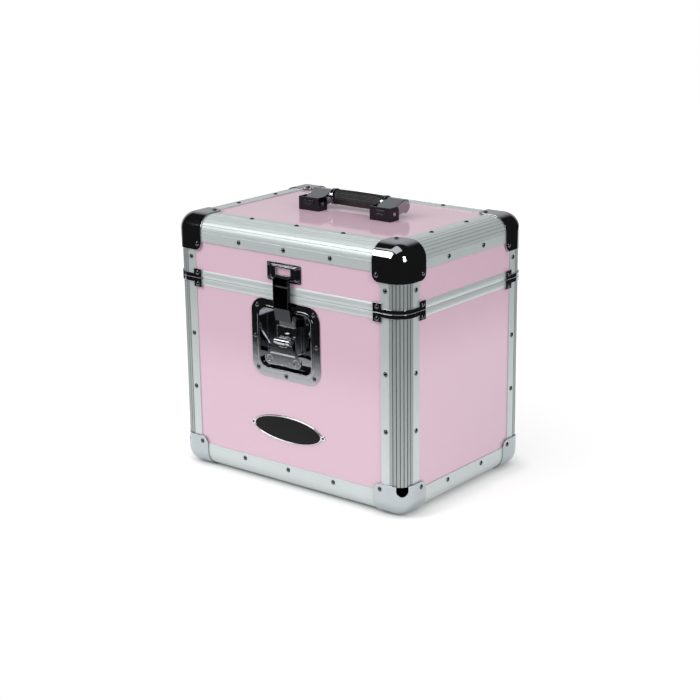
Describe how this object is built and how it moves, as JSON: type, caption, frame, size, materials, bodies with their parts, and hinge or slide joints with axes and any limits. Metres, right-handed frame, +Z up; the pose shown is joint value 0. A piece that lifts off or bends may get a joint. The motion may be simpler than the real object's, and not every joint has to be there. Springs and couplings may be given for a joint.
{
  "type": "record carrying case",
  "caption": "Record carrying case with laminate panels in aluminium edges, ball corners, a hinged lid, a butterfly latch and a fold-down handle.",
  "frame": {"origin": "on the floor under the middle of the box", "axes": "+Z up, +Y from the latched front to the hinged back, +X to the right as seen from the front"},
  "size_m": [0.3818, 0.285, 0.3725],
  "materials": {
    "laminate": "glossy pink laminate on plywood",
    "extrusion": "satin anodised, ridged",
    "silver_corner": "zinc plated, bright",
    "dark_chrome": "mirror chrome",
    "steel": "plated steel",
    "rivet": "polished rivet heads",
    "grip": "black moulded grip",
    "foam": "black foam lining"
  },
  "bodies": {
    "case_body": {"front_panel": "laminate", "back_panel": "laminate", "left_panel": "laminate", "right_panel": "laminate", "base_panel": "laminate", "body_post_front_left": "extrusion", "body_post_front_right": "extrusion", "body_post_back_left": "extrusion", "body_post_back_right": "extrusion", "bottom_edge_front": "extrusion", "bottom_edge_back": "extrusion", "bottom_edge_left": "extrusion", "bottom_edge_right": "extrusion", "body_rails": "extrusion", "bottom_corner_front_left": "silver_corner", "bottom_corner_front_right": "silver_corner", "bottom_corner_back_left": "silver_corner", "bottom_corner_back_right": "silver_corner", "body_corner_braces": "dark_chrome", "latch_dish": "dark_chrome", "latch_bridge": "steel", "base_pad": "foam", "hinge_body_leaves": "steel", "hinge_pins": "steel", "body_rivets": "rivet", "latch_rivets": "rivet"},
    "lid": {"lid_top_panel": "laminate", "lid_front_panel": "laminate", "lid_back_panel": "laminate", "lid_left_panel": "laminate", "lid_right_panel": "laminate", "lid_post_front_left": "extrusion", "lid_post_front_right": "extrusion", "lid_post_back_left": "extrusion", "lid_post_back_right": "extrusion", "top_edge_front": "extrusion", "top_edge_back": "extrusion", "top_edge_left": "extrusion", "top_edge_right": "extrusion", "lid_rails": "extrusion", "top_corner_front_left": "dark_chrome", "top_corner_front_right": "dark_chrome", "top_corner_back_left": "dark_chrome", "top_corner_back_right": "dark_chrome", "lid_corner_braces": "dark_chrome", "keeper": "dark_chrome", "lid_rivets": "rivet", "hinge_lid_leaves": "steel", "lid_pad": "foam", "handle_brackets": "dark_chrome", "handle_pins": "steel"},
    "handle": {"handle_arms": "dark_chrome", "handle_grip": "grip"},
    "spindle": {"latch_spindle": "dark_chrome", "wing_pin": "steel"},
    "wing": {"latch_wing": "dark_chrome"},
    "slider": {"latch_slider": "steel", "tongue_pin": "steel"},
    "tongue": {"latch_tongue": "dark_chrome"}
  },
  "joints": [
    {"name": "lid_hinge", "type": "hinge", "parent": "case_body", "child": "lid", "pos_m": [0, 0.1381, 0.2645], "axis": [-1, 0, 0], "range_deg": [0, 100]},
    {"name": "handle_fold", "type": "hinge", "parent": "lid", "child": "handle", "pos_m": [0.004, -0.0065, 0.3555], "axis": [1, 0, 0], "range_deg": [0, 77]},
    {"name": "latch_turn", "type": "hinge", "parent": "case_body", "child": "spindle", "pos_m": [0, -0.1325, 0.203], "axis": [0, -1, 0], "range_deg": [0, 90]},
    {"name": "wing_fold", "type": "hinge", "parent": "spindle", "child": "wing", "pos_m": [0, -0.1385, 0.203], "axis": [-1, 0, 0], "range_deg": [0, 90]},
    {"name": "latch_throw", "type": "slide", "parent": "case_body", "child": "slider", "axis": [0, 0, 1], "range_m": [0, 0.00501]},
    {"name": "tongue_swing", "type": "hinge", "parent": "slider", "child": "tongue", "pos_m": [0, -0.1295, 0.231], "axis": [1, 0, 0], "range_deg": [0, 55]}
  ],
  "couplings": [
    {"joint": "latch_throw", "follows": "latch_turn", "m_per_rad": 0.003187}
  ]
}
